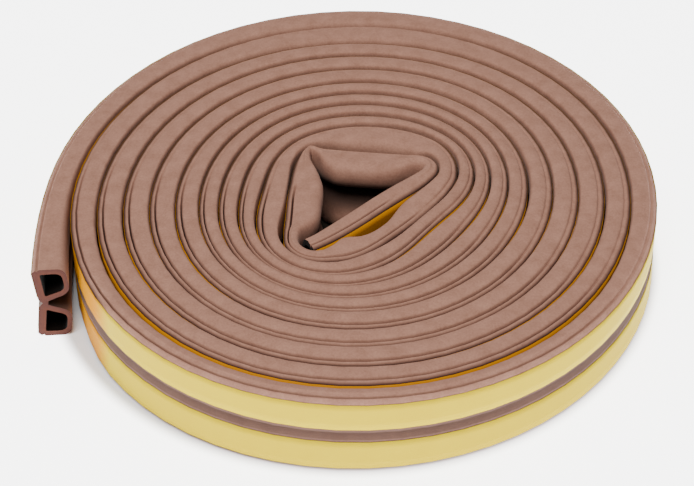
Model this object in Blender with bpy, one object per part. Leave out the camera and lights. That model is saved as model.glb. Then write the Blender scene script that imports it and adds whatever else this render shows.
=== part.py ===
"""Foam rubber seal strip: a twin D profile with paper release liners, wound in a flat coil.

Metres, +Z up. The coil lies flat on z = 0 and its box is centred on the Z axis.
The strip's flat adhesive backs face outwards, and its hollow D crowns face the middle.
"""
import math

import bmesh
import bpy
import numpy as np

# Section of the twin profile
D_WIDTH = 0.0096           # one D, along the coil's axis; the twin is two of them
FREE_HEIGHT = 0.0080       # back to crown where nothing squeezes the foam
BACK_WALL = 0.0017
SIDE_WALL = 0.0013
CROWN_WALL = 0.0012
SIDE_FLAT = 0.58           # share of the height where the flat side ends
SHOULDER = 0.0017          # drop from the flat side to the crown's shoulder
SHOULDER_AT = 0.89         # share of the height where that shoulder lies
CROWN_OFFSET = 0.0045      # crown tip from the flat side
VALLEY_AT = 0.88           # share of the height where the valley's shoulder lies
VALLEY_SHOULDER = 0.0024   # valley shoulder from the tear line
WEB_THICKNESS = 0.0012     # joins the two D at the tear line
WEB_LIMIT = 0.8            # most that the web takes of a squeezed height
NOTCH_DEPTH = 0.0008       # V notch of the tear line in the back
NOTCH_WIDTH = 0.0022
SQUEEZED_BACK = 0.30       # most that the back wall takes of a squeezed height
SQUEEZED_CROWN = 0.20      # the same for the crown wall
BORE_FLAT = 0.62           # share of the hollow's height where its flat side ends

# Release liners
LINER_WIDTH = 0.0069
LINER_THICKNESS = 0.0002
LINER_MARGIN = 0.0010      # bare back outside the liner
LINER_GAP = 0.00025        # liner to back
TURN_GAP = 0.0003          # liner to the next turn's crown

# Winding, in turns counted outwards from the core's end
TURNS = 9.424
STATIONS_PER_TURN = 24
FIRST_ANGLE = math.radians(50)   # where the spiral takes over from the folded core
CORE_RADIUS = 0.0240             # mean radius of the back where the spiral starts
PITCH_TIGHT = 0.0046             # squeezed inner turns
PITCH_SLACK = 0.0060             # outer turns
SLACK_FROM = 3.8                 # turn where the winding slackens
SLACK_SPREAD = 0.3
CORE_FADE = 1.8                  # turns over which the core's shape fades out
LOOSE_FROM = 7.1                 # turn from which the far side is wound loosely
LOOSE_GROWTH = 0.0018            # what it adds there to each turn
LOOSE_AT = math.radians(92.5)    # the middle of that side
LOOSE_POWER = 4                  # how narrow that side is
TAIL_TURN = 0.10                 # the free end springs away over this part of a turn
TAIL_LIFT = 0.0038
TAIL_FOLD = 0.0014               # the free end folds at the tear line
FOLD_TURN = 0.20                 # over this part of a turn

# Out-of-round of the core and of the whole coil: lobes, height, direction
CORE_LOBES = ((1, 0.0013, 142), (2, 0.0033, 46), (3, 0.0024, 14))
COIL_LOBES = ((2, 0.0027, 81.2),)

# Folded core: back line from the spiral inwards to the cut end, in millimetres from
# the coil's axis, with the height that the foam has there
MM = 0.001
RAYS = 5              # places in each span where the room to the turn inside is measured
OWN_SPANS = 3         # spans next to its own station that a ray leaves out
PARALLEL = 1e-12      # cross product below which two directions are taken as parallel
CORE_POINTS = (
    (20.9, 18.0, 8.0), (22.6, 14.1, 8.0), (23.3, 9.6, 8.0), (22.8, 4.6, 8.0),
    (20.7, -0.4, 6.0), (18.0, -4.9, 6.2), (15.0, -9.2, 6.4), (10.0, -15.1, 6.6),
    (5.0, -20.4, 6.6), (1.2, -23.4, 7.2), (-3.0, -25.3, 7.4), (-7.7, -26.1, 3.9),
    (-11.1, -25.8, 3.6), (-13.7, -24.5, 3.4), (-15.6, -22.4, 3.3), (-16.7, -20.0, 3.1),
    (-17.0, -17.3, 3.1), (-17.0, -14.8, 5.0), (-16.9, -12.3, 7.2), (-16.7, -8.4, 8.0),
    (-16.5, -2.7, 8.0), (-16.0, 2.4, 8.0), (-15.5, 7.1, 7.2), (-14.8, 11.2, 5.6),
    (-13.9, 14.3, 4.0), (-13.0, 16.5, 2.6), (-11.6, 17.6, 2.3), (-9.6, 17.4, 3.2),
    (-6.0, 16.9, 6.4), (-1.0, 16.2, 7.8), (4.0, 15.6, 8.0), (8.5, 15.1, 7.2),
    (12.0, 14.8, 5.8), (15.2, 14.3, 4.6), (17.6, 12.8, 4.0), (18.9, 10.2, 3.8),
    (18.5, 7.1, 4.0), (16.6, 4.0, 4.8), (14.0, 0.9, 6.0), (10.5, -2.6, 7.2),
    (6.0, -7.1, 7.8), (1.5, -11.8, 7.6), (-2.6, -15.8, 6.6), (-6.4, -19.1, 5.4),
    (-10.1, -21.8, 4.4),
)


def material(name, colour, roughness):
    """Make a Principled material."""
    mat = bpy.data.materials.new(name)
    mat.use_nodes = True
    shader = mat.node_tree.nodes["Principled BSDF"]
    shader.inputs["Base Color"].default_value = (*colour, 1.0)
    shader.inputs["Roughness"].default_value = roughness
    shader.inputs["Metallic"].default_value = 0.0
    mat.diffuse_color = (*colour, 1.0)
    return mat


def lobes(table, angle):
    """Out-of-round at an angle, from its lobes."""
    return sum(size * math.cos(count * angle - math.radians(count * at)) for count, size, at in table)


def spiral_point(turn):
    """Back line at a turn counted from where the spiral starts."""
    angle = FIRST_ANGLE + 2 * math.pi * turn
    reach = SLACK_SPREAD * math.log(2 * math.cosh((turn - SLACK_FROM) / SLACK_SPREAD))
    start = SLACK_SPREAD * math.log(2 * math.cosh(SLACK_FROM / SLACK_SPREAD))
    radius = CORE_RADIUS + PITCH_TIGHT * turn
    radius += (PITCH_SLACK - PITCH_TIGHT) / 2 * (turn + reach - start)
    radius += lobes(CORE_LOBES, angle) * math.exp(-turn / CORE_FADE) + lobes(COIL_LOBES, angle)
    facing = (1 + math.cos(angle - LOOSE_AT)) / 2
    radius += LOOSE_GROWTH * max(0.0, turn - LOOSE_FROM) * facing ** LOOSE_POWER
    free = max(0.0, 1 + (turn - TURNS) / TAIL_TURN)
    radius += TAIL_LIFT * free ** 3
    return radius * math.cos(angle), radius * math.sin(angle)


def back_line():
    """Stations of the back from the free end to the core's cut end, and the core's heights."""
    steps = round(TURNS * STATIONS_PER_TURN)
    points = [spiral_point(TURNS * (1 - i / steps)) for i in range(steps + 1)]
    caps = [FREE_HEIGHT] * len(points)
    points += [(x * MM, y * MM) for x, y, height in CORE_POINTS]
    caps += [height * MM for x, y, height in CORE_POINTS]
    return np.array(points), np.array(caps)


def inward_normals(points):
    """Unit normals of the back line that point to the coil's middle."""
    along = np.gradient(points, axis=0)
    along /= np.linalg.norm(along, axis=1)[:, None]
    return np.stack((along[:, 1], -along[:, 0]), axis=1)


def clear_way(start, normal, ends):
    """Distance from a point, along a direction, to the nearest piece of a line of points."""
    first, edge = ends[:-1], np.diff(ends, axis=0)
    cross = normal[0] * edge[:, 1] - normal[1] * edge[:, 0]
    cross = np.where(np.abs(cross) < PARALLEL, PARALLEL, cross)
    gap = first - start
    reach = (gap[:, 0] * edge[:, 1] - gap[:, 1] * edge[:, 0]) / cross
    share = (gap[:, 0] * normal[1] - gap[:, 1] * normal[0]) / cross
    hit = reach[(share >= 0) & (share <= 1) & (reach > 0)]
    return hit.min() if len(hit) else np.inf


def room_inside(points, normals):
    """Room at each station, straight inwards to the next turn's back, sampled along its spans."""
    room = np.full(len(points), np.inf)
    for i in range(len(points) - OWN_SPANS - 1):
        for share in np.linspace(0, 1, RAYS):
            start = points[i] + share * (points[i + 1] - points[i])
            normal = normals[i] + share * (normals[i + 1] - normals[i])
            way = clear_way(start, normal / np.linalg.norm(normal), points[i + OWN_SPANS:])
            room[i:i + 2] = np.minimum(room[i:i + 2], way)
    return room


def heights(points, normals, caps):
    """Section height at each station: free, or squeezed by the turn inside."""
    spare = LINER_GAP + LINER_THICKNESS + TURN_GAP
    return np.minimum(caps, room_inside(points, normals) - spare)


def tail_lean(count):
    """How far each station's outer edges lean out, from the tear line, near the free end."""
    part = np.arange(count) / (FOLD_TURN * STATIONS_PER_TURN)
    return TAIL_FOLD * np.clip(1 - part, 0, 1) ** 2


def outer_section(height):
    """Outline of the twin section: depth from the back, and level."""
    half = [
        (0.0, 0.0),
        (SIDE_FLAT * height, 0.0),
        (SHOULDER_AT * height, SHOULDER),
        (height, CROWN_OFFSET),
        (VALLEY_AT * height, D_WIDTH - VALLEY_SHOULDER),
        (min(NOTCH_DEPTH + WEB_THICKNESS, WEB_LIMIT * height), D_WIDTH - WEB_THICKNESS / 2),
    ]
    upper = [(depth, 2 * D_WIDTH - level) for depth, level in reversed(half)]
    notch = [
        (0.0, D_WIDTH + NOTCH_WIDTH / 2),
        (NOTCH_DEPTH, D_WIDTH),
        (0.0, D_WIDTH - NOTCH_WIDTH / 2),
    ]
    return half + upper + notch


def bore_section(height):
    """Outline of the lower D's hollow; the upper one is its mirror image."""
    near = min(BACK_WALL, SQUEEZED_BACK * height)
    far = height - min(CROWN_WALL, SQUEEZED_CROWN * height)
    return [
        (near, SIDE_WALL),
        (near + BORE_FLAT * (far - near), SIDE_WALL),
        (far, CROWN_OFFSET),
        (near, D_WIDTH - NOTCH_WIDTH),
    ]


def rings(points, normals, sizes, leans, outline):
    """Place one outline per station; returns the corners as (station, corner, xyz)."""
    placed = []
    for point, normal, size, lean in zip(points, normals, sizes, leans):
        ring = []
        for depth, level in outline(size):
            depth -= lean * abs(level - D_WIDTH) / D_WIDTH
            ring.append((point[0] + depth * normal[0], point[1] + depth * normal[1], level))
        placed.append(ring)
    return np.array(placed)


def loft(name, shells, mat, collection):
    """Skin each shell of rings, and close both ends of the bundle with flat caps."""
    mesh_data = bmesh.new()
    end_edges = ([], [])
    for shell in shells:
        verts = [[mesh_data.verts.new(co) for co in ring] for ring in shell]
        count = len(verts[0])
        for first, second in zip(verts[:-1], verts[1:]):
            for k in range(count):
                j = (k + 1) % count
                mesh_data.faces.new((first[k], first[j], second[j], second[k]))
        for edges, ring in zip(end_edges, (verts[0], verts[-1])):
            edges += [mesh_data.edges.get((ring[k], ring[(k + 1) % count])) for k in range(count)]
    for edges in end_edges:
        bmesh.ops.triangle_fill(mesh_data, use_beauty=True, edges=edges)
    bmesh.ops.recalc_face_normals(mesh_data, faces=mesh_data.faces)
    mesh = bpy.data.meshes.new(name)
    mesh_data.to_mesh(mesh)
    mesh_data.free()
    mesh.materials.append(mat)
    piece = bpy.data.objects.new(name, mesh)
    collection.objects.link(piece)
    return piece


def main():
    """Build the strip and its two liners."""
    for old in list(bpy.data.objects):
        bpy.data.objects.remove(old, do_unlink=True)
    collection = bpy.data.collections.new("seal_strip_coil")
    bpy.context.scene.collection.children.link(collection)
    foam = material("foam_rubber", (0.36, 0.24, 0.18), 0.85)
    paper = material("liner_paper", (0.90, 0.68, 0.08), 0.6)

    points, caps = back_line()
    normals = inward_normals(points)
    sizes = heights(points, normals, caps)
    outer = points - normals * (LINER_GAP + LINER_THICKNESS)
    points = points - (outer.max(axis=0) + outer.min(axis=0)) / 2
    leans = tail_lean(len(points))

    def upper_bore(height):
        """Hollow of the upper D."""
        return [(depth, 2 * D_WIDTH - level) for depth, level in bore_section(height)]

    shells = [rings(points, normals, sizes, leans, outline)
              for outline in (outer_section, bore_section, upper_bore)]
    loft("twin_seal_strip", shells, foam, collection)

    def liner_section(bottom):
        """Outline maker of a liner that starts at a level."""
        near, far = -LINER_GAP, -LINER_GAP - LINER_THICKNESS
        top = bottom + LINER_WIDTH
        return lambda height: [(near, bottom), (near, top), (far, top), (far, bottom)]

    levels = {"lower_release_liner": LINER_MARGIN,
              "upper_release_liner": 2 * D_WIDTH - LINER_MARGIN - LINER_WIDTH}
    for name, bottom in levels.items():
        shell = rings(points, normals, sizes, leans, liner_section(bottom))
        loft(name, [shell], paper, collection)


main()
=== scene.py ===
"""Foam rubber seal strip in a flat coil: its foam and its two paper release liners.

Metres, +Z up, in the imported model's frame: the coil lies on z = 0. The strip is a twin D
profile whose flat backs face outwards. A section is given by the depth from the back and
by the level above the ground, and it is carried along the back line by Geometry Nodes.
"""

import logging
import math
from dataclasses import dataclass, field, fields
from enum import Enum

import bmesh
import bpy
import numpy as np
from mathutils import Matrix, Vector

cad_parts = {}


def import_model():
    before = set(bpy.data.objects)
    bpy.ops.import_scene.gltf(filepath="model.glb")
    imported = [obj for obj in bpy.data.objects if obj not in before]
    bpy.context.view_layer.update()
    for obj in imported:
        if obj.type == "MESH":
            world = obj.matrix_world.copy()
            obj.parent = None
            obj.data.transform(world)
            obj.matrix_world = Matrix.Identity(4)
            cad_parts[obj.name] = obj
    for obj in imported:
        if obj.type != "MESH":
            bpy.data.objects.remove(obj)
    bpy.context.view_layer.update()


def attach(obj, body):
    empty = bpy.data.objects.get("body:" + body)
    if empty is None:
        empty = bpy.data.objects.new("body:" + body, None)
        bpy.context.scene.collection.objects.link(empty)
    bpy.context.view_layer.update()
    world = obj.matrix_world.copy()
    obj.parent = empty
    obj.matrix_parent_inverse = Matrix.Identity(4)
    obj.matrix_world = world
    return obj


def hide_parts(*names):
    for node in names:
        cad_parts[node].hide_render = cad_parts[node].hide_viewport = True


log = logging.getLogger("seal_strip")

MM = 0.001
BODY = "root"

Colour = tuple[float, float, float, float]
Socket = bpy.types.NodeSocket

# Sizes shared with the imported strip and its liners
D_WIDTH = 9.6 * MM
TWIN_WIDTH = 2 * D_WIDTH
FREE_HEIGHT = 8.0 * MM
FOOT = 2.0 * MM
LINER_WIDTH = 6.9 * MM
LINER_MARGIN = 1.0 * MM
LINER_REACH = 0.45 * MM

FOOT_LIMIT = 0.4    # most that the foot takes of a squeezed height
MOST_CUT = 0.48     # most of an outline's edge that the rounding of one corner takes
PARALLEL = 1e-12    # cross product below which two directions count as parallel


def smooth_step(value: np.ndarray) -> np.ndarray:
    """Ease a ramp that is below 0 before it and above 1 after it."""
    part = np.clip(value, 0.0, 1.0)
    return part * part * (3 - 2 * part)


@dataclass(frozen=True)
class BackLine:
    """Stations of the strip's back, from the free end to the cut end in the core."""

    spots: np.ndarray
    inward: np.ndarray
    along: np.ndarray
    height: np.ndarray
    pressed: np.ndarray
    shade: np.ndarray
    bulge: np.ndarray
    crease: np.ndarray
    lean: np.ndarray
    # Masks of painted shade on the liners and the back's edge: under an outer turn, in the tail's cast
    # shadow, and in the far grooves.
    cover_shade: np.ndarray
    gloom: np.ndarray
    flare: np.ndarray


@dataclass(frozen=True)
class OpenGroove:
    """A place where a turn stands off the turn inside it, so that the liner shows."""

    turn: float
    spread: float
    amount: float


@dataclass(frozen=True)
class Facing:
    """A part of the coil that faces one way, by its weights of the angle's sine and cosine."""

    start: float
    sine: float
    cosine: float = 0.0

    def share(self, angle: np.ndarray) -> np.ndarray:
        """Give 0 outside the part, to 1 inside it, at angles round the coil's axis."""
        return smooth_step(self.start + self.sine * np.sin(angle) + self.cosine * np.cos(angle))


@dataclass(frozen=True)
class Winding:
    """How the back line winds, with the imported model's own sizes, and how it is squeezed.

    A core point is a place from the coil's axis, in millimetres, and the foam's height there.
    A swell is a turn number, its spread in turns, and what it adds to the foam's height.
    Turns are counted from the core outwards, and below 0 along the core's own line.
    """

    turns: float = 9.424
    first_angle: float = math.radians(50)
    core_radius: float = 24.0 * MM
    pitch_tight: float = 4.6 * MM
    pitch_slack: float = 6.0 * MM
    slack_from: float = 3.8
    slack_spread: float = 0.3
    core_fade: float = 1.8
    loose_from: float = 7.1
    loose_growth: float = 1.8 * MM
    loose_at: float = math.radians(92.5)
    loose_power: int = 4
    tail_turn: float = 0.10
    tail_lift: float = 3.8 * MM
    tail_fold: float = 1.1 * MM
    fold_turn: float = 0.20
    core_lobes: tuple[tuple[int, float, float], ...] = (
        (1, 1.3 * MM, 142),
        (2, 3.3 * MM, 46),
        (3, 2.4 * MM, 14),
    )
    coil_lobes: tuple[tuple[int, float, float], ...] = ((2, 2.7 * MM, 81.2),)
    core_points: tuple[tuple[float, float, float], ...] = (
        (20.9, 18.0, 8.0), (22.6, 14.1, 8.0), (23.3, 9.6, 8.0), (22.8, 4.6, 8.0),
        (20.7, -0.4, 6.4), (18.0, -4.9, 6.3), (15.0, -9.2, 6.4), (10.0, -15.1, 6.4),
        (5.0, -20.4, 5.6), (1.2, -23.4, 6.8), (-3.0, -25.3, 7.4), (-7.7, -26.1, 4.2),
        (-11.1, -25.8, 3.8), (-13.7, -24.5, 3.6), (-15.6, -22.4, 3.5), (-16.7, -20.0, 3.4),
        (-17.0, -17.3, 3.6), (-17.0, -14.8, 5.4), (-16.9, -12.3, 7.4), (-16.7, -8.4, 8.0),
        (-16.5, -2.7, 8.0), (-16.0, 2.4, 8.0), (-15.5, 7.1, 7.5), (-14.8, 11.2, 6.0),
        (-13.9, 14.3, 4.2), (-13.0, 16.5, 2.4), (-11.6, 17.6, 1.9), (-9.6, 17.4, 4.4),
        (-8.2, 17.2, 7.4), (-6.0, 16.9, 8.0), (-1.0, 16.2, 8.0), (4.0, 15.6, 8.0),
        (8.5, 15.1, 8.0), (12.0, 14.8, 7.0), (15.2, 14.3, 4.6), (17.6, 12.8, 4.0),
        (18.9, 10.2, 3.8), (18.5, 7.1, 4.2), (16.6, 4.0, 5.0), (14.0, 0.9, 5.4),
        (10.5, -2.6, 5.5), (6.0, -7.1, 5.5), (1.5, -11.8, 5.5), (-2.6, -15.8, 5.4),
        (-6.4, -19.1, 5.0), (-10.1, -21.8, 4.5),
    )
    swells: tuple[tuple[float, float, float], ...] = (
        (1.38, 0.06, 0.8 * MM),
        (0.43, 0.05, 1.2 * MM),
        (-0.31, 0.07, 1.3 * MM),
        (-0.44, 0.035, -1.2 * MM),
        (-0.53, 0.045, 1.8 * MM),
        (-0.60, 0.035, 2.0 * MM),
    )
    coarse_per_turn: int = 24
    fine_per_turn: int = 68
    core_step: float = 1.0 * MM
    core_turn_length: float = 0.1
    ray_skip: float = 13 * MM
    contact_gap: float = 0.20 * MM
    touch_fade: float = 1.0 * MM
    even_out: int = 2
    even_pressed: int = 4
    open_gap: float = 0.8 * MM
    loose_share: float = 0.08
    loose_after: float = 2.0
    groove_fade: float = 1.5
    bulge_size: float = 0.9 * MM
    bulge_fade: float = 0.4
    crease_depth: float = 0.9 * MM
    crease_loss: float = 0.8
    crease_loss_turns: float = 1.3
    creased: Facing = Facing(-0.2, -2.0, -0.7)
    far_side: Facing = Facing(-0.2, 1.5)
    far_light: float = 0.85
    # The next four values set painted shade under an outer turn, and the tail's cast shadow painted on the
    # liner up to an angle.
    sheltered_to: float = 10.0 * MM
    shelter_fade: float = 4.0 * MM
    paper_end: float = math.radians(218)
    paper_blend: float = 0.02
    open_grooves: tuple[OpenGroove, ...] = (
        OpenGroove(8.605, 0.165, 1.0),
        OpenGroove(7.70, 0.14, 0.4),
        OpenGroove(7.47, 0.08, 0.3),
        OpenGroove(5.55, 0.10, 0.35),
        OpenGroove(4.95, 0.12, 0.3),
    )
    # The next three values set the near-black shade painted on liners in the grooves of the far side.
    gloomy: Facing = Facing(0.7, 2.5)
    gloom_to: float = 8.35
    gloom_fade: float = 0.1
    flare_all: float = 0.5 * MM
    flare_left: float = 0.7 * MM
    flare_turns: tuple[float, float] = (8.42, 8.95)
    flare_fades: tuple[float, float] = (0.05, 0.15)
    flare_peak: float = 8.50
    flare_spread: float = 0.12

    def lobes(self, table: tuple[tuple[int, float, float], ...], angle: np.ndarray) -> np.ndarray:
        """Add up lobes, each a count, a height and a direction in degrees, at an angle."""
        return sum(size * np.cos(count * (angle - math.radians(at))) for count, size, at in table)

    def spiral_points(self, turn: np.ndarray) -> np.ndarray:
        """Back line at turns counted outwards from the folded core.

        Args:
            turn: Turn numbers.

        Returns:
            Points from the coil's axis, one row for each turn number.
        """
        angle = self.first_angle + 2 * math.pi * turn
        spread = self.slack_spread
        reach = spread * np.log(2 * np.cosh((turn - self.slack_from) / spread))
        start = spread * math.log(2 * math.cosh(self.slack_from / spread))
        radius = self.core_radius + self.pitch_tight * turn
        radius = radius + (self.pitch_slack - self.pitch_tight) / 2 * (turn + reach - start)
        radius += self.lobes(self.core_lobes, angle) * np.exp(-turn / self.core_fade)
        radius += self.lobes(self.coil_lobes, angle)
        facing = (1 + np.cos(angle - self.loose_at)) / 2
        radius += self.loose_growth * np.clip(turn - self.loose_from, 0, None) * facing ** self.loose_power
        free = np.clip(1 + (turn - self.turns) / self.tail_turn, 0, None)
        radius += self.tail_lift * free ** 3
        return np.stack((radius * np.cos(angle), radius * np.sin(angle)), axis=1)

    def core_line(self) -> tuple[np.ndarray, np.ndarray]:
        """Folded core as a smooth line through its chosen points.

        Returns:
            Points from the coil's axis, and the height that the foam has at each.
        """
        lead = self.spiral_points(np.array([1 / self.coarse_per_turn, 0.0]))
        chosen = np.array(self.core_points) * MM
        knots = np.vstack((lead, chosen[:, :2]))
        last = 2 * knots[-1] - knots[-2]
        knots = np.vstack((knots, last))
        tall = np.concatenate(([FREE_HEIGHT], chosen[:, 2]))
        line, caps = [], []
        for k in range(1, len(knots) - 2):
            before, start, end, after = knots[k - 1:k + 3]
            count = max(2, round(np.linalg.norm(end - start) / self.core_step))
            for share in np.arange(1, count + 1) / count:
                square, cube = share ** 2, share ** 3
                line.append(0.5 * (2 * start + (end - before) * share
                                   + (2 * before - 5 * start + 4 * end - after) * square
                                   + (3 * start - before - 3 * end + after) * cube))
                ease = smooth_step(np.array(share))
                caps.append(tall[k - 1] + (tall[k] - tall[k - 1]) * ease)
        return np.array(line), np.array(caps)

    def axis_place(self) -> np.ndarray:
        """Place of the coil's axis, which centres the liners' box on the model's origin."""
        steps = round(self.turns * self.coarse_per_turn)
        coarse = self.spiral_points(self.turns * (1 - np.arange(steps + 1) / steps))
        outer = coarse - LINER_REACH * self.inward_normals(coarse)
        return -(outer.max(axis=0) + outer.min(axis=0)) / 2

    @staticmethod
    def inward_normals(points: np.ndarray) -> np.ndarray:
        """Unit normals that point to the coil's middle.

        Args:
            points: Points along the back, from the free end inwards.

        Returns:
            One normal for each point.
        """
        along = np.gradient(points, axis=0)
        along /= np.linalg.norm(along, axis=1)[:, None]
        return np.stack((along[:, 1], -along[:, 0]), axis=1)

    @staticmethod
    def clear_way(start: np.ndarray, way: np.ndarray, line: np.ndarray) -> float:
        """Distance from a point along a direction to a line of points.

        Args:
            start: Where the ray starts.
            way: Unit direction of the ray.
            line: Points of the line that may be hit.

        Returns:
            Distance to the nearest hit, or infinity.
        """
        if len(line) < 2:
            return math.inf
        edge = np.diff(line, axis=0)
        gap = line[:-1] - start
        cross = way[0] * edge[:, 1] - way[1] * edge[:, 0]
        cross = np.where(np.abs(cross) < PARALLEL, PARALLEL, cross)
        reach = (gap[:, 0] * edge[:, 1] - gap[:, 1] * edge[:, 0]) / cross
        share = (gap[:, 0] * way[1] - gap[:, 1] * way[0]) / cross
        hit = reach[(share >= 0) & (share <= 1) & (reach > 0)]
        return float(hit.min()) if len(hit) else math.inf

    def looseness(self, turn: np.ndarray, angle: np.ndarray) -> np.ndarray:
        """How loosely each station lies on the turn inside it.

        Args:
            turn: Turn number of each station.
            angle: Angle of each station round the coil's axis.

        Returns:
            0 where the foam is pressed on, to 1 where a groove stands open.
        """
        near = np.clip(-np.sin(angle), 0, 1)
        loose = self.loose_share * near * smooth_step(turn - self.loose_after)
        for groove in self.open_grooves:
            part = np.abs(turn - groove.turn) / groove.spread
            loose = np.maximum(loose, groove.amount * smooth_step(2 - self.groove_fade * part))
        return np.clip(loose, 0, 1)

    def flare(self, turn: np.ndarray) -> np.ndarray:
        """How far the lower D's side stands out from under the upper D on the outer turn.

        Args:
            turn: Turn number of each station.

        Returns:
            The distance at each station.
        """
        start, end = self.flare_turns
        rise, fall = self.flare_fades
        outer = smooth_step((turn - start) / rise) * smooth_step((end - turn) / fall)
        peak = np.exp(-((turn - self.flare_peak) / self.flare_spread) ** 2)
        return outer * (self.flare_all + self.flare_left * peak)

    def even(self, values: np.ndarray, reach: int) -> np.ndarray:
        """Average each station's value with those of its neighbours within reach."""
        padded = np.pad(values, reach, mode="edge")
        return np.convolve(padded, np.full(2 * reach + 1, 1 / (2 * reach + 1)), mode="valid")

    def stations(self) -> BackLine:
        """Work out the back line and how the foam is squeezed along it.

        Returns:
            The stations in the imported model's frame.
        """
        steps = round(self.turns * self.fine_per_turn)
        turn = self.turns * (1 - np.arange(steps + 1) / steps)
        core, core_caps = self.core_line()
        points = np.vstack((self.spiral_points(turn), core))
        along = np.concatenate(([0], np.cumsum(np.linalg.norm(np.diff(points, axis=0), axis=1))))
        turn = np.concatenate((turn, -(along[steps + 1:] - along[steps]) / self.core_turn_length))
        caps = np.concatenate((np.full(steps + 1, FREE_HEIGHT), core_caps))
        caps += sum(size * np.exp(-((turn - at) / spread) ** 2) for at, spread, size in self.swells)
        inward = self.inward_normals(points)
        room = np.empty(len(points))
        cover = np.empty(len(points))
        for i, (point, way) in enumerate(zip(points, inward)):
            ahead = np.searchsorted(along, along[i] + self.ray_skip)
            behind = np.searchsorted(along, along[i] - self.ray_skip)
            room[i] = self.clear_way(point, way, points[ahead:])
            cover[i] = self.clear_way(point, -way, points[:behind])
        angle = np.arctan2(points[:, 1], points[:, 0])
        loose = self.looseness(turn, angle)
        fit = room - self.contact_gap
        touching = smooth_step((caps - fit) / self.touch_fade)
        height = np.minimum(caps, fit - self.open_gap * loose)
        reach = self.even_out
        lowest = np.min([np.roll(height, k) for k in range(-reach, reach + 1)], axis=0)
        lowest[:reach], lowest[-reach:] = height[:reach], height[-reach:]
        height = self.even(lowest, reach)
        squeeze = 1 - height / FREE_HEIGHT
        # The tail's cast shadow and the shade under an outer turn are painted on the liner.
        last_turn = self.first_angle + 2 * math.pi * (turn - math.floor(self.turns) + 1)
        tail_shadow = smooth_step((self.paper_end - last_turn) / self.paper_blend)
        cover_shade = smooth_step((self.sheltered_to - cover) / self.shelter_fade)
        cover_shade = np.maximum(cover_shade, tail_shadow)
        pressed = self.even(touching * (1 - loose), self.even_pressed)
        worn = self.crease_loss * smooth_step(turn - self.turns + self.crease_loss_turns)
        # Near-black shade painted on the liners in the far grooves.
        gloom = cover_shade * self.gloomy.share(angle)
        return BackLine(
            spots=points + self.axis_place(),
            inward=inward,
            along=along,
            height=height,
            pressed=pressed,
            shade=pressed * (1 - self.far_light * self.far_side.share(angle)),
            bulge=self.bulge_size * squeeze * smooth_step((self.turns - turn) / self.bulge_fade),
            crease=self.crease_depth * self.creased.share(angle) * (1 - worn),
            lean=self.tail_fold * np.clip(1 - (self.turns - turn) / self.fold_turn, 0, 1) ** 2,
            cover_shade=cover_shade,
            gloom=gloom * smooth_step((self.gloom_to - turn) / self.gloom_fade),
            flare=self.flare(turn),
        )


@dataclass(frozen=True)
class Corner:
    """A corner of the upper D, in millimetres.

    It has a depth from the back and a drop below the D's flat side. Its rounding has a cut
    along each edge and a number of steps, and a run adds points on the edge after it.
    """

    depth: float
    drop: float
    cut: float
    steps: int
    run: int = 0


class Fit(Enum):
    """How the foam sits in the coil."""

    FREE = "free"
    PRESSED = "pressed"


# The upper D's outside, from the tear line's notch round to the web
OUTSIDE = {
    Fit.FREE: [
        Corner(0, 0.9, 0.3, 3),
        Corner(0.95, 0.06, 0.35, 3),
        Corner(1.4, 0.14, 0.15, 2),
        Corner(1.85, 0, 0.3, 3, run=3),
        Corner(8.0, 0, 3.9, 8),
        Corner(8.0, 5.9, 2.8, 5),
        Corner(2.1, 9.05, 0.35, 2),
    ],
    Fit.PRESSED: [
        Corner(0, 1.1, 0.3, 3),
        Corner(0.9, 0.42, 0.35, 3),
        Corner(1.35, 0.7, 0.12, 2),
        Corner(1.65, 0, 0.35, 3, run=3),
        Corner(8.0, 0, 1.0, 8),
        Corner(8.0, 8.2, 0.9, 5),
        Corner(2.1, 9.2, 0.3, 2),
    ],
}

# The upper D's hollow
HOLLOW = {
    Fit.FREE: [
        Corner(1.7, 1.3, 0.4, 2),
        Corner(6.8, 1.3, 2.8, 5),
        Corner(6.8, 5.2, 1.7, 4),
        Corner(1.7, 7.7, 0.4, 2),
    ],
    Fit.PRESSED: [
        Corner(1.7, 1.6, 0.4, 2),
        Corner(7.0, 1.4, 0.9, 5),
        Corner(7.0, 7.3, 0.8, 4),
        Corner(1.7, 7.7, 0.4, 2),
    ],
}


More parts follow.
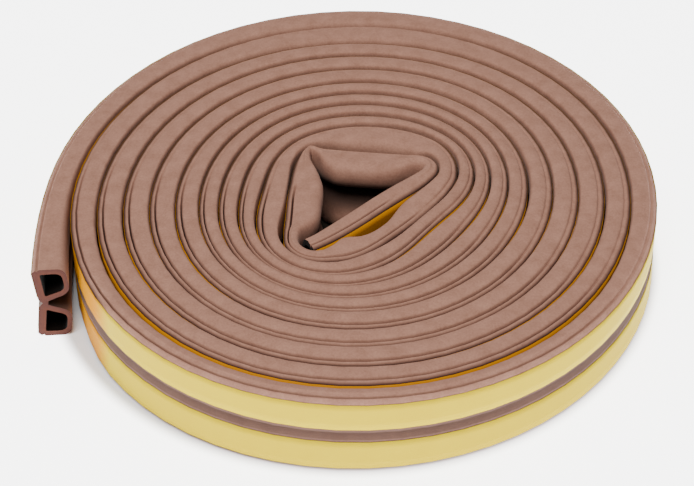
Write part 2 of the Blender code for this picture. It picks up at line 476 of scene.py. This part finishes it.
@dataclass(frozen=True)
class TwinSection:
    """Outline of the twin D and of its two hollows, free and pressed by the next turn."""

    tear_mouth: float = 1.1 * MM
    tear_depth: float = 0.8 * MM
    crease_depths: tuple[float, float] = (1.0 * MM, 1.7 * MM)
    crease_drops: tuple[float, float] = (0.5 * MM, 2.0 * MM)
    arch_from: float = 1.6 * MM
    arch_drop: float = 1.3 * MM
    # These values shape the masks of painted shade: in the tear line's notch, between the crowns, and down
    # the grooves between turns.
    nook_depth: float = 1.2 * MM
    nook_reach: float = 1.6 * MM
    tear_shade: float = 0.8
    tear_fade: float = 1.5
    groove_shade_width: float = 0.75 * MM
    groove_shade_reach: float = 2.4 * MM
    valley_from: float = 7.4 * MM

    @staticmethod
    def rounded(corners: list[Corner], closed: bool) -> np.ndarray:
        """Round each corner with a curve that starts a cut before it and ends a cut after it.

        Args:
            corners: The corners.
            closed: Whether the last corner joins the first.

        Returns:
            Depth and drop of each point, in metres.
        """
        places = np.array([(c.depth, c.drop) for c in corners])
        points = []
        for k, corner in enumerate(corners):
            ends = []
            for other in (k - 1, k + 1):
                if not closed and not 0 <= other < len(corners):
                    other = k
                way = places[other % len(corners)] - places[k]
                length = np.linalg.norm(way)
                cut = min(corner.cut, MOST_CUT * length)
                ends.append(places[k] + (way / length * cut if length else 0))
            start, end = ends
            for share in np.linspace(0, 1, corner.steps + 1):
                near = start + (places[k] - start) * share
                far = places[k] + (end - places[k]) * share
                points.append(near + (far - near) * share)
            if corner.run:
                after = corners[k + 1]
                way = places[k] - places[k + 1]
                stop = places[k + 1] + way / np.linalg.norm(way) * after.cut
                for share in np.arange(1, corner.run + 1) / (corner.run + 1):
                    points.append(end + (stop - end) * share)
        return np.array(points) * MM

    def both_halves(self, half: np.ndarray) -> np.ndarray:
        """Outside of the twin: the upper D, its mirror image, and the tear line's notch.

        Args:
            half: Depth and drop of the upper D's outside.

        Returns:
            Depth and level of each point of the closed outline.
        """
        upper = np.stack((half[:, 0], TWIN_WIDTH - half[:, 1]), axis=1)
        lower = half[::-1]
        return np.vstack((upper, lower, [(self.tear_depth, D_WIDTH)]))

    def loops(self, fit: Fit) -> list[np.ndarray]:
        """Closed outlines of the outside, the lower hollow and the upper hollow.

        Args:
            fit: Free or pressed.

        Returns:
            Depth and level of each point of each outline.
        """
        mouth = Corner(0, (D_WIDTH - self.tear_mouth) / MM, 0.15, 2)
        outside = self.both_halves(self.rounded([mouth, *OUTSIDE[fit]], closed=False))
        bore = self.rounded(HOLLOW[fit], closed=True)
        upper = np.stack((bore[:, 0], TWIN_WIDTH - bore[:, 1]), axis=1)
        return [outside, bore, upper]

    def nook_shade_share(self, depth: np.ndarray, drop: np.ndarray) -> np.ndarray:
        """How strongly shade is painted on each point in the nooks: the tear line's notch, or the valley
        between the crowns.

        Args:
            depth: Distance of each point from the back.
            drop: Distance of each point from its flat side.

        Returns:
            0 in the open, to 1 between the crowns.
        """
        tear = self.tear_shade * smooth_step(self.tear_fade - (D_WIDTH - drop) / self.nook_reach)
        crowns = smooth_step((drop - self.valley_from) / self.nook_depth)
        return np.where(depth < self.nook_depth, tear, crowns)

    def groove_shade_share(self, depth: np.ndarray, drop: np.ndarray) -> np.ndarray:
        """How strongly groove shade is painted on each point, by how far it lies down the groove between
        two turns.

        Args:
            depth: Distance of each point from the back.
            drop: Distance of each point from its flat side.

        Returns:
            Up to 1 on the back's edge, down to -1 on the crown's shoulder, and 0 elsewhere.
        """
        back = smooth_step((self.groove_shade_width - depth) / self.groove_shade_width) * (drop < self.groove_shade_reach)
        crown = smooth_step((depth - FREE_HEIGHT) / self.groove_shade_width + 1) * (drop < self.groove_shade_reach)
        return np.where(depth < FREE_HEIGHT / 2, back, -crown)

    def outline_object(self) -> bpy.types.Object:
        """Make the outlines a mesh of edges that carries both fits.

        Returns:
            The object that the strip's tree reads.
        """
        free, pressed = self.loops(Fit.FREE), self.loops(Fit.PRESSED)
        flat = np.vstack(pressed)
        side = np.where(flat[:, 1] > D_WIDTH, 1.0, -1.0)
        drop = np.where(side > 0, TWIN_WIDTH - flat[:, 1], flat[:, 1])
        outside = np.arange(len(flat)) < len(free[0])
        in_crease = outside.copy()
        for values, limits in ((flat[:, 0], self.crease_depths), (drop, self.crease_drops)):
            in_crease &= (values > limits[0]) & (values < limits[1])
        crease = np.where(in_crease, side, 0)
        part = np.clip((flat[:, 0] - self.arch_from) / (FREE_HEIGHT - self.arch_from), 0, 1)
        arch = np.where(outside & (drop < self.arch_drop), np.sin(math.pi * part), 0)
        values = {
            "free_depth": np.vstack(free)[:, 0],
            "free_level": np.vstack(free)[:, 1],
            "pressed_depth": flat[:, 0],
            "pressed_level": flat[:, 1],
            "crease_share": crease,
            "arch_share": np.where(side > 0, arch, 0),
            "bore": np.where(outside, 0.0, 1.0),
            # The next two values mark where shade is painted on the skin: in the nooks and down the grooves
            # between turns.
            "nook_shade": np.where(outside, self.nook_shade_share(flat[:, 0], drop), 0),
            "groove_shade_mask": np.where(outside, self.groove_shade_share(flat[:, 0], drop), 0),
            "around": np.concatenate([np.linspace(0, 1, len(loop)) for loop in free]),
        }
        return edge_object("strip_outline", free, values, closed=True)


def edge_object(name: str, lines: list[np.ndarray], values: dict[str, np.ndarray],
                closed: bool) -> bpy.types.Object:
    """Make a mesh of edges with one number or vector for each point.

    Args:
        name: Name of the object.
        lines: Points of each line.
        values: Values of each named attribute, for the points of all the lines in order.
        closed: Whether each line's last point joins its first.

    Returns:
        The object, linked to the scene.
    """
    points = [(*p, 0.0) for line in lines for p in line]
    edges, first = [], 0
    for line in lines:
        count = len(line)
        edges += [(first + k, first + (k + 1) % count) for k in range(count if closed else count - 1)]
        first += count
    mesh = bpy.data.meshes.new(name)
    mesh.from_pydata(points, edges, [])
    for key, data in values.items():
        if data.ndim == 1:
            mesh.attributes.new(key, "FLOAT", "POINT").data.foreach_set("value", data.astype(np.float32))
        else:
            rows = np.pad(data, ((0, 0), (0, 3 - data.shape[1]))).astype(np.float32)
            mesh.attributes.new(key, "FLOAT_VECTOR", "POINT").data.foreach_set("vector", rows.ravel())
    piece = bpy.data.objects.new(name, mesh)
    bpy.context.scene.collection.objects.link(piece)
    return piece


@dataclass
class NodePlan:
    """Adds nodes to one node tree, with their settings and inputs given together."""

    tree: bpy.types.NodeTree

    def put(self, socket: Socket, value: object) -> None:
        """Link a socket or set its value.

        Args:
            socket: Input to feed.
            value: A socket to link from, or a plain value.
        """
        if isinstance(value, bpy.types.NodeSocket):
            self.tree.links.new(value, socket)
        else:
            socket.default_value = value

    def add(self, kind: str, inputs: dict[str | int, object] | None = None,
            **settings: object) -> bpy.types.Node:
        """Add a node.

        Args:
            kind: Type of the node.
            inputs: Value or source socket of each input, by name or number.
            settings: Properties of the node.

        Returns:
            The node.
        """
        node = self.tree.nodes.new(kind)
        for key, value in settings.items():
            setattr(node, key, value)
        for key, value in (inputs or {}).items():
            self.put(node.inputs[key], value)
        return node

    def calc(self, operation: str, *values: object) -> Socket:
        """Add a Math node and give its result."""
        node = self.add("ShaderNodeMath", dict(enumerate(values)), operation=operation)
        return node.outputs[0]

    def blend(self, share: object, first: object, second: object) -> Socket:
        """Blend two numbers and give the result."""
        node = self.add("ShaderNodeMix", {0: share, 2: first, 3: second}, data_type="FLOAT")
        return node.outputs[0]

    def tint(self, share: object, first: object, second: object) -> Socket:
        """Blend two colours and give the result."""
        node = self.add("ShaderNodeMix", {0: share, 6: first, 7: second}, data_type="RGBA")
        return node.outputs[2]

    def carried(self, name: str) -> Socket:
        """Read a number that the mesh carries, in a shader."""
        return self.add("ShaderNodeAttribute", attribute_name=name).outputs["Fac"]

    def number(self, name: str) -> Socket:
        """Read a number that the geometry carries, in a geometry tree."""
        return self.add("GeometryNodeInputNamedAttribute", {"Name": name}, data_type="FLOAT").outputs[0]

    def vector(self, name: str) -> Socket:
        """Read a vector that the geometry carries, in a geometry tree."""
        node = self.add("GeometryNodeInputNamedAttribute", {"Name": name}, data_type="FLOAT_VECTOR")
        return node.outputs[0]


@dataclass
class GeometryPlan(NodePlan):
    """A Geometry Nodes tree with named inputs."""

    identifiers: dict[str, str] = field(default_factory=dict)

    @classmethod
    def start(cls, name: str, inputs: dict[str, str]) -> "GeometryPlan":
        """Open a tree.

        Args:
            name: Name of the tree.
            inputs: Socket type of each named input besides the geometry.

        Returns:
            The plan, with its inputs made.
        """
        tree = bpy.data.node_groups.new(name, "GeometryNodeTree")
        tree.interface.new_socket("Geometry", in_out="INPUT", socket_type="NodeSocketGeometry")
        tree.interface.new_socket("Geometry", in_out="OUTPUT", socket_type="NodeSocketGeometry")
        plan = cls(tree)
        for key, kind in inputs.items():
            socket = tree.interface.new_socket(key, in_out="INPUT", socket_type=kind)
            plan.identifiers[key] = socket.identifier
        return plan

    def close(self, geometry: Socket, material: Socket) -> None:
        """End the tree in Realize Instances and Set Material.

        Args:
            geometry: What the tree has made.
            material: Its finish.
        """
        real = self.add("GeometryNodeRealizeInstances", {"Geometry": geometry})
        dressed = self.add("GeometryNodeSetMaterial", {"Geometry": real.outputs[0], "Material": material})
        self.add("NodeGroupOutput", {"Geometry": dressed.outputs[0]})

    def run(self, base: bpy.types.Object, values: dict[str, object]) -> bpy.types.Mesh:
        """Run the tree on an object and keep the result as a plain mesh.

        Args:
            base: Object whose mesh the tree starts from. It is removed.
            values: Value of each named input.

        Returns:
            The finished mesh.
        """
        modifier = base.modifiers.new(self.tree.name, "NODES")
        modifier.node_group = self.tree
        for key, value in values.items():
            modifier[self.identifiers[key]] = value
        base.update_tag()
        bpy.context.view_layer.update()
        graph = bpy.context.evaluated_depsgraph_get()
        mesh = bpy.data.meshes.new_from_object(
            base.evaluated_get(graph), preserve_all_data_layers=True, depsgraph=graph)
        base.modifiers.remove(modifier)
        bpy.data.objects.remove(base, do_unlink=True)
        return mesh


@dataclass(frozen=True)
class Wave:
    """Waves of a soft surface along the strip."""

    size: float
    length: float
    seed: float


def section_tree() -> GeometryPlan:
    """Plan the tree that carries a section along the back line.

    The solid foot of the section keeps its thickness, and the hollow part behind it is
    squeezed to the height that the station has.

    Returns:
        The tree's plan.
    """
    plan = GeometryPlan.start("section_along_back", {
        "Outline": "NodeSocketObject",
        **dict.fromkeys(("Foot", "Free Height", "Tear Line", "Wave", "Wave Length", "Seed"),
                        "NodeSocketFloat"),
        "Finish": "NodeSocketMaterial",
    })
    calc, number = plan.calc, plan.number
    given = plan.add("NodeGroupInput").outputs
    rail = plan.add("GeometryNodeMeshToCurve", {"Mesh": given["Geometry"]})
    outline = plan.add("GeometryNodeObjectInfo", {"Object": given["Outline"]})
    loops = plan.add("GeometryNodeMeshToCurve", {"Mesh": outline.outputs["Geometry"]})
    skin = plan.add("GeometryNodeCurveToMesh",
                    {"Curve": rail.outputs[0], "Profile Curve": loops.outputs[0]})

    pressed = number("pressed")
    rest_depth = plan.blend(pressed, number("free_depth"), number("pressed_depth"))
    rest_level = plan.blend(pressed, number("free_level"), number("pressed_level"))
    height = number("height")
    foot = calc("MINIMUM", given["Foot"], calc("MULTIPLY", height, FOOT_LIMIT))
    in_foot = calc("MINIMUM", rest_depth, given["Foot"])
    past_foot = calc("MAXIMUM", calc("SUBTRACT", rest_depth, given["Foot"]), 0.0)
    hollow = calc("SUBTRACT", given["Free Height"], given["Foot"])
    squeezed = calc("DIVIDE", calc("SUBTRACT", height, foot), hollow)
    depth = calc("ADD", calc("MULTIPLY", in_foot, calc("DIVIDE", foot, given["Foot"])),
                 calc("MULTIPLY", past_foot, squeezed))

    from_tear = calc("ABSOLUTE", calc("SUBTRACT", rest_level, given["Tear Line"]))
    lean = calc("MULTIPLY", number("lean"), calc("DIVIDE", from_tear, given["Tear Line"]))
    below = calc("SUBTRACT", 1.0, calc("DIVIDE", rest_level, given["Tear Line"]))
    flare = calc("MULTIPLY", number("flare"), calc("MAXIMUM", below, 0.0))
    depth = calc("SUBTRACT", depth, calc("ADD", lean, flare))
    level = calc("SUBTRACT", rest_level, calc("MULTIPLY", number("crease"), number("crease_share")))
    level = calc("ADD", level, calc("MULTIPLY", number("bulge"), number("arch_share")))

    along = calc("DIVIDE", number("along"), given["Wave Length"])
    place = plan.add("ShaderNodeCombineXYZ", {0: along, 1: number("around"), 2: given["Seed"]})
    noise = plan.add("ShaderNodeTexNoise", {"Vector": place.outputs[0], "Scale": 1.0, "Detail": 2.0})
    parts = plan.add("ShaderNodeSeparateXYZ", {0: noise.outputs["Color"]})
    drift = [calc("MULTIPLY", calc("SUBTRACT", part, 0.5), given["Wave"])
             for part in parts.outputs[:2]]
    depth = calc("ADD", depth, drift[0])
    level = calc("MAXIMUM", calc("ADD", level, drift[1]), 0.0)

    inward = plan.add("ShaderNodeVectorMath", {0: plan.vector("inward")}, operation="SCALE")
    plan.put(inward.inputs["Scale"], depth)
    rise = plan.add("ShaderNodeCombineXYZ", {2: level})
    raised = plan.add("ShaderNodeVectorMath", {0: inward.outputs[0], 1: rise.outputs[0]}, operation="ADD")
    spot = plan.add("ShaderNodeVectorMath", {0: plan.vector("spots"), 1: raised.outputs[0]},
                    operation="ADD")
    placed = plan.add("GeometryNodeSetPosition", {"Geometry": skin.outputs[0], "Position": spot.outputs[0]})
    plan.close(placed.outputs[0], given["Finish"])
    return plan


def sweep(tree: GeometryPlan, line: BackLine, outline: bpy.types.Object, wave: Wave,
          finish: bpy.types.Material) -> bpy.types.Mesh:
    """Carry an outline along the back line.

    Args:
        tree: Tree that carries a section along the back line.
        line: The stations, each of whose values becomes an attribute.
        outline: Edges of the section. The object is removed.
        wave: Waves of the surface.
        finish: Material of the mesh.

    Returns:
        The mesh, with open ends.
    """
    stations = {item.name: getattr(line, item.name) for item in fields(line)}
    rail = edge_object("back_line", [line.spots], stations, closed=False)
    mesh = tree.run(rail, {
        "Outline": outline,
        "Foot": FOOT,
        "Free Height": FREE_HEIGHT,
        "Tear Line": D_WIDTH,
        "Wave": wave.size,
        "Wave Length": wave.length,
        "Seed": wave.seed,
        "Finish": finish,
    })
    bpy.data.objects.remove(outline, do_unlink=True)
    return mesh


# Values that the finishes read; the others are dropped from the finished meshes
KEPT_VALUES = ("along", "bore", "cut", "nook_shade", "groove_shade_mask", "cover_shade", "gloom", "shade", "crease",
               "crease_share", "material_index")


def finished_piece(name: str, mesh: bpy.types.Mesh) -> bpy.types.Object:
    """Close the ends of a swept mesh, turn its faces outwards and link it as a piece.

    Args:
        name: Name of the piece.
        mesh: Swept mesh with open ends.

    Returns:
        The piece, which rides on the model's body.
    """
    form = bmesh.new()
    form.from_mesh(mesh)
    cut = form.faces.layers.float.new("cut")
    rims = [edge for edge in form.edges if len(edge.link_faces) == 1]
    for edges in split_ends(rims):
        filled = bmesh.ops.triangle_fill(form, use_beauty=True, edges=edges)
        for face in filled["geom"]:
            if isinstance(face, bmesh.types.BMFace):
                face[cut] = 1.0
    bmesh.ops.recalc_face_normals(form, faces=form.faces)
    for face in form.faces:
        face.smooth = face[cut] < 0.5
    for edge in rims:
        edge.smooth = False
    form.to_mesh(mesh)
    form.free()
    for attribute in [a.name for a in mesh.attributes if not a.is_internal and not a.is_required]:
        if attribute not in KEPT_VALUES and not attribute.startswith("sharp"):
            mesh.attributes.remove(mesh.attributes[attribute])
    mesh.name = name
    piece = bpy.data.objects.new(name, mesh)
    bpy.context.scene.collection.objects.link(piece)
    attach(piece, BODY)
    return piece


def split_ends(rims: list[bmesh.types.BMEdge]) -> list[list[bmesh.types.BMEdge]]:
    """Sort open edges by the end of the strip that they lie on.

    Args:
        rims: Open edges of both ends.

    Returns:
        The edges of each end.
    """
    middle = sum((edge.verts[0].co for edge in rims), Vector()) / len(rims)
    first = rims[0].verts[0].co
    way = first - middle
    near = [edge for edge in rims if (edge.verts[0].co - middle).dot(way) > 0]
    far = [edge for edge in rims if (edge.verts[0].co - middle).dot(way) <= 0]
    return [near, far]


def grain_group() -> bpy.types.NodeTree:
    """Build the shader group of patches and grain that foam and paper share.

    Returns:
        The group: a vector, two scales and a share in; patches, grain and height out.
    """
    tree = bpy.data.node_groups.new("patches_and_grain", "ShaderNodeTree")
    tree.interface.new_socket("Vector", in_out="INPUT", socket_type="NodeSocketVector")
    for key in ("Patch Scale", "Grain Scale", "Grain Share"):
        tree.interface.new_socket(key, in_out="INPUT", socket_type="NodeSocketFloat")
    for key in ("Patches", "Grain", "Height"):
        tree.interface.new_socket(key, in_out="OUTPUT", socket_type="NodeSocketFloat")
    plan = NodePlan(tree)
    given = plan.add("NodeGroupInput").outputs
    patches = plan.add("ShaderNodeTexNoise", {
        "Vector": given["Vector"], "Scale": given["Patch Scale"], "Detail": 3.0, "Roughness": 0.6})
    grain = plan.add("ShaderNodeTexNoise", {
        "Vector": given["Vector"], "Scale": given["Grain Scale"], "Detail": 4.0, "Roughness": 0.7})
    soft, fine = (plan.add("ShaderNodeMapRange", {0: noise.outputs[0], 1: 0.3, 2: 0.7})
                  for noise in (patches, grain))
    height = plan.blend(given["Grain Share"], soft.outputs[0], fine.outputs[0])
    plan.add("NodeGroupOutput", {"Patches": soft.outputs[0], "Grain": fine.outputs[0], "Height": height})
    return tree


def open_material(name: str) -> tuple[NodePlan, bpy.types.Node, bpy.types.Material]:
    """Start a material with a Principled shader.

    Args:
        name: Name of the material.

    Returns:
        The plan of its nodes, its shader and the material.
    """
    material = bpy.data.materials.new(name)
    material.use_nodes = True
    shader = material.node_tree.nodes["Principled BSDF"]
    return NodePlan(material.node_tree), shader, material


def srgb(red: int, green: int, blue: int) -> Colour:
    """Linear colour of a display colour.

    Args:
        red: Red, 0 to 255.
        green: Green, 0 to 255.
        blue: Blue, 0 to 255.

    Returns:
        Linear red, green and blue, with alpha 1.
    """
    def linear(level: int) -> float:
        """Linear value of one display level."""
        share = level / 255
        return share / 12.92 if share <= 0.04045 else ((share + 0.055) / 1.055) ** 2.4
    return linear(red), linear(green), linear(blue), 1.0


@dataclass(frozen=True)
class Finish:
    """What foam and paper share: patches and grain in their colour, roughness and bump."""

    name: str
    light: Colour
    dark: Colour
    patch_scale: float
    grain_scale: float
    grain_share: float
    grain_in_colour: float
    roughness: tuple[float, float]
    bump: float
    bump_strength: float
    gloss: float
    sheen: float

    def colour(self, plan: NodePlan, mottled: Socket) -> Socket:
        """Give the base colour, which each finish works out from its mottled ground."""
        raise NotImplementedError

    def build(self, grain: bpy.types.NodeTree) -> bpy.types.Material:
        """Build the material.

        Args:
            grain: Shared group of patches and grain.

        Returns:
            The material.
        """
        plan, shader, material = open_material(self.name)
        mask = plan.add("ShaderNodeGroup", {
            "Vector": plan.add("ShaderNodeTexCoord").outputs["Object"],
            "Patch Scale": self.patch_scale,
            "Grain Scale": self.grain_scale,
            "Grain Share": self.grain_share,
        }, node_tree=grain).outputs
        mottle = plan.blend(self.grain_in_colour, mask["Patches"], mask["Grain"])
        plan.put(shader.inputs["Base Color"], self.colour(plan, plan.tint(mottle, self.dark, self.light)))
        low, high = self.roughness
        rough = plan.add("ShaderNodeMapRange", {0: mask["Grain"], 3: low, 4: high})
        plan.put(shader.inputs["Roughness"], rough.outputs[0])
        bump = plan.add("ShaderNodeBump", {
            "Height": mask["Height"], "Distance": self.bump, "Strength": self.bump_strength})
        plan.put(shader.inputs["Normal"], bump.outputs[0])
        # No specular inside the hollows, so they stay dark as painted shade.
        plan.put(shader.inputs["Specular IOR Level"], plan.blend(plan.carried("bore"), self.gloss, 0.0))
        plan.put(shader.inputs["Sheen Weight"], self.sheen)
        return material


@dataclass(frozen=True)
class FoamFinish(Finish):
    """Closed skin of the foam rubber with painted shade in its hollows, nooks, creases and grooves, and its
    darker cut faces, dark partly by their own colour and partly by painted shade.
    """

    name: str = "foam_rubber"
    light: Colour = srgb(167, 124, 106)
    dark: Colour = srgb(134, 95, 79)
    patch_scale: float = 260.0
    grain_scale: float = 1900.0
    grain_share: float = 0.6
    grain_in_colour: float = 0.55
    roughness: tuple[float, float] = (0.72, 0.92)
    bump: float = 0.06 * MM
    bump_strength: float = 0.6
    gloss: float = 0.2
    sheen: float = 0.05
    # The cut faces are dark partly by the cut foam's own colour and partly by painted shade.
    cut_edge: Colour = srgb(68, 35, 29)
    cut_inner: Colour = srgb(84, 52, 44)
    # Near-black painted shade in the hollows and on the core's cut end.
    bore: Colour = srgb(14, 9, 7)
    # Painted shade in the tear line's notch and between the crowns.
    nook_shade: Colour = srgb(34, 20, 16)
    # Painted shade in the crease lines and down the grooves between turns.
    crease: Colour = srgb(52, 27, 20)
    groove_shade: float = 1.0
    shoulder_shade: float = 0.4
    deep_from: float = 1.0

    def colour(self, plan: NodePlan, mottled: Socket) -> Socket:
        """Paint shade on the skin in nooks, creases, grooves and hollows, and colour the cut faces, with
        the core's cut end painted near-black as shade.

        Args:
            plan: Nodes of the material.
            mottled: The open skin's colour.

        Returns:
            The base colour.
        """
        bore, cut, nook_shade, groove_shade_mask = (plan.carried(name) for name in ("bore", "cut", "nook_shade", "groove_shade_mask"))
        skin = plan.tint(nook_shade, mottled, self.nook_shade)
        share = plan.calc("DIVIDE", plan.carried("crease"), Winding.crease_depth)
        line = plan.calc("MULTIPLY", plan.calc("ABSOLUTE", plan.carried("crease_share")), share)
        # Groove shade is painted on the back's edge where a turn covers it, and on the crown's shoulder.
        back = plan.calc("MULTIPLY", groove_shade_mask, plan.carried("cover_shade"))
        crown = plan.calc("MULTIPLY", plan.calc("MULTIPLY", groove_shade_mask, -1.0), plan.carried("shade"))
        groove = plan.calc("MAXIMUM", plan.calc("MULTIPLY", back, self.groove_shade),
                           plan.calc("MULTIPLY", crown, self.shoulder_shade))
        # Paint shade into the creases and grooves.
        skin = plan.tint(plan.calc("MAXIMUM", line, groove), skin, self.crease)
        # Paint the hollows near-black, as shade.
        skin = plan.tint(bore, skin, self.bore)
        core = plan.tint(bore, self.cut_edge, self.cut_inner)
        # The cut face at the core's end is painted near-black, as shade.
        deep = plan.calc("GREATER_THAN", plan.carried("along"), self.deep_from)
        return plan.tint(cut, skin, plan.tint(deep, core, self.bore))


@dataclass(frozen=True)
class PaperFinish(Finish):
    """Yellow release paper, with painted orange shade where a turn or the tail's cast shadow lies over it,
    and painted near-black shade in the far grooves.
    """

    name: str = "liner_paper"
    light: Colour = (0.52, 0.385, 0.0, 1.0)
    dark: Colour = (0.49, 0.355, 0.0, 1.0)
    patch_scale: float = 180.0
    grain_scale: float = 2600.0
    grain_share: float = 0.8
    grain_in_colour: float = 0.5
    roughness: tuple[float, float] = (0.42, 0.62)
    bump: float = 0.02 * MM
    bump_strength: float = 0.5
    gloss: float = 0.05
    sheen: float = 0.0
    # Painted orange shade, and near-black shade in the far grooves.
    shaded: Colour = (0.50, 0.20, 0.0, 1.0)
    gloomy: Colour = (0.13, 0.06, 0.025, 1.0)

    def colour(self, plan: NodePlan, mottled: Socket) -> Socket:
        """Paint orange shade on the paper between two turns and in the tail's cast shadow, and near-black
        shade in the far grooves.
        """
        paper = plan.tint(plan.carried("cover_shade"), mottled, self.shaded)
        return plan.tint(plan.carried("gloom"), paper, self.gloomy)


@dataclass
class TwinStrip:
    """The extruded twin D, from the free end to the cut end in the core."""

    line: BackLine
    section: TwinSection = TwinSection()
    wave: Wave = Wave(size=0.16 * MM, length=14 * MM, seed=3.0)

    def build(self, tree: GeometryPlan, foam: bpy.types.Material) -> bpy.types.Object:
        """Sweep the section along the back line.

        Args:
            tree: Tree that carries a section along the back line.
            foam: The foam's material.

        Returns:
            The strip.
        """
        mesh = sweep(tree, self.line, self.section.outline_object(), self.wave, foam)
        piece = finished_piece("foam_twin_strip", mesh)
        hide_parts("twin_seal_strip")
        return piece


class Side(Enum):
    """Which D a release liner covers."""

    UPPER = "upper"
    LOWER = "lower"


@dataclass
class ReleaseLiner:
    """Paper ribbon on the adhesive back of one D."""

    line: BackLine
    side: Side
    thickness: float = 0.04 * MM
    stand_off: float = 0.08 * MM
    wave_size: float = 0.06 * MM
    wave_length: float = 9 * MM
    seeds: tuple[float, float] = (5.0, 8.0)

    def build(self, tree: GeometryPlan, paper: bpy.types.Material) -> bpy.types.Object:
        """Lay the ribbon along the back line.

        Args:
            tree: Tree that carries a section along the back line.
            paper: The liner's material.

        Returns:
            The liner.
        """
        upper = self.side is Side.UPPER
        bottom = TWIN_WIDTH - LINER_MARGIN - LINER_WIDTH if upper else LINER_MARGIN
        levels = np.linspace(bottom, bottom + LINER_WIDTH, 5)
        face = [(-self.stand_off, level) for level in levels]
        back = [(-self.stand_off - self.thickness, level) for level in levels[::-1]]
        loop = np.array(face + back)
        values = {f"{fit.value}_{axis}": loop[:, k]
                  for fit in Fit for k, axis in enumerate(("depth", "level"))}
        values |= {key: np.zeros(len(loop)) for key in ("crease_share", "arch_share")}
        values["around"] = (loop[:, 1] - bottom) / LINER_WIDTH
        outline = edge_object("liner_outline", [loop], values, closed=True)
        wave = Wave(self.wave_size, self.wave_length, self.seeds[0 if upper else 1])
        mesh = sweep(tree, self.line, outline, wave, paper)
        piece = finished_piece(f"{self.side.value}_liner_ribbon", mesh)
        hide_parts(f"{self.side.value}_release_liner")
        return piece


@dataclass(frozen=True)
class Studio:
    """Pale floor, an even sky, one soft light, and the camera at the photograph's angle.

    The floor glows from a rounded edge outwards, which paints a soft contact shadow round the coil, and is
    painted dark beneath the coil as shadow.
    """

    camera_place: tuple[float, float, float] = (-0.00089, -0.39124, 0.31015)
    tilt: float = math.radians(90 - 38.34)
    lens: float = 107.90
    sensor: float = 36.0
    clip: tuple[float, float] = (0.01, 20.0)
    floor_size: float = 8.0
    floor_roughness: float = 0.9
    floor_gloss: float = 0.1
    floor_colour: Colour = (0.90, 0.91, 0.94, 1.0)
    floor_round: tuple[float, float, float] = (0.0705, 0.0755, 1.0)
    under_round: float = 0.91
    under_shadow_colour: Colour = (0.03, 0.025, 0.02, 1.0)
    glow_colour: Colour = (1.0, 1.0, 1.0, 1.0)
    glow: float = 4.8
    contact_shadow_reach: float = 0.055
    sky: float = 0.5
    key_place: tuple[float, float, float] = (-0.15, -0.4, 1.0)
    key_size: float = 0.5
    key_power: float = 13.2
    key_colour: tuple[float, float, float] = (1.0, 0.98, 0.95)

    def camera(self) -> None:
        """Place the camera."""
        data = bpy.data.cameras.new("camera")
        data.lens = self.lens
        data.sensor_width = self.sensor
        data.sensor_fit = "HORIZONTAL"
        data.clip_start, data.clip_end = self.clip
        camera = bpy.data.objects.new("camera", data)
        camera.location = self.camera_place
        camera.rotation_euler = (self.tilt, 0, 0)
        bpy.context.scene.collection.objects.link(camera)
        bpy.context.scene.camera = camera

    def floor(self) -> None:
        """Lay the floor, which isn't part of the object."""
        form = bmesh.new()
        bmesh.ops.create_grid(form, x_segments=1, y_segments=1, size=self.floor_size / 2)
        mesh = bpy.data.meshes.new("floor")
        form.to_mesh(mesh)
        form.free()
        plan, shader, material = open_material("floor")
        shader.inputs["Roughness"].default_value = self.floor_roughness
        shader.inputs["Specular IOR Level"].default_value = self.floor_gloss
        place = plan.add("ShaderNodeTexCoord").outputs["Object"]
        squashed = plan.add("ShaderNodeVectorMath", {0: place, 1: self.floor_round}, operation="DIVIDE")
        away = plan.add("ShaderNodeVectorMath", {0: squashed.outputs[0]}, operation="LENGTH")
        # The glow rises from the rounded edge, a painted contact shadow round the coil.
        glow = plan.add("ShaderNodeMapRange", {
            0: away.outputs["Value"], 1: 1.0, 2: 1.0 + self.contact_shadow_reach, 3: 0.0, 4: self.glow},
            interpolation_type="SMOOTHSTEP")
        # Beneath the coil the floor is painted dark, as shadow.
        under = plan.calc("LESS_THAN", away.outputs["Value"], self.under_round)
        plan.put(shader.inputs["Base Color"], plan.tint(under, self.floor_colour, self.under_shadow_colour))
        shader.inputs["Emission Color"].default_value = self.glow_colour
        plan.put(shader.inputs["Emission Strength"], glow.outputs[0])
        mesh.materials.append(material)
        floor = bpy.data.objects.new("floor", mesh)
        bpy.context.scene.collection.objects.link(floor)

    def key_light(self) -> None:
        """Hang a soft square light that faces the coil."""
        data = bpy.data.lights.new("key", "AREA")
        data.shape = "SQUARE"
        data.size = self.key_size
        data.energy = self.key_power
        data.color = self.key_colour
        light = bpy.data.objects.new("key", data)
        light.location = self.key_place
        light.rotation_euler = (-Vector(self.key_place)).to_track_quat("-Z", "Y").to_euler()
        bpy.context.scene.collection.objects.link(light)

    def lights(self) -> None:
        """Light the room evenly, with a soft key from above the camera."""
        world = bpy.data.worlds.new("studio")
        world.use_nodes = True
        background = world.node_tree.nodes["Background"]
        background.inputs["Color"].default_value = self.glow_colour
        background.inputs["Strength"].default_value = self.sky
        bpy.context.scene.world = world
        self.key_light()

    def build(self) -> None:
        """Set up the floor, the lights and the camera."""
        self.floor()
        self.lights()
        self.camera()


def main() -> None:
    """Build the coil's pieces and its studio, and report each one."""
    logging.basicConfig(level=logging.INFO, format="%(message)s")
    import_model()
    line = Winding().stations()
    log.info("back line: %d stations, %.3f m", len(line.along), line.along[-1])
    grain = grain_group()
    foam = FoamFinish().build(grain)
    paper = PaperFinish().build(grain)
    tree = section_tree()
    pieces = [TwinStrip(line).build(tree, foam)]
    pieces += [ReleaseLiner(line, side).build(tree, paper) for side in Side]
    for piece in pieces:
        log.info("%s: %d faces", piece.name, len(piece.data.polygons))
    Studio().build()


if __name__ == "__main__":
    main()
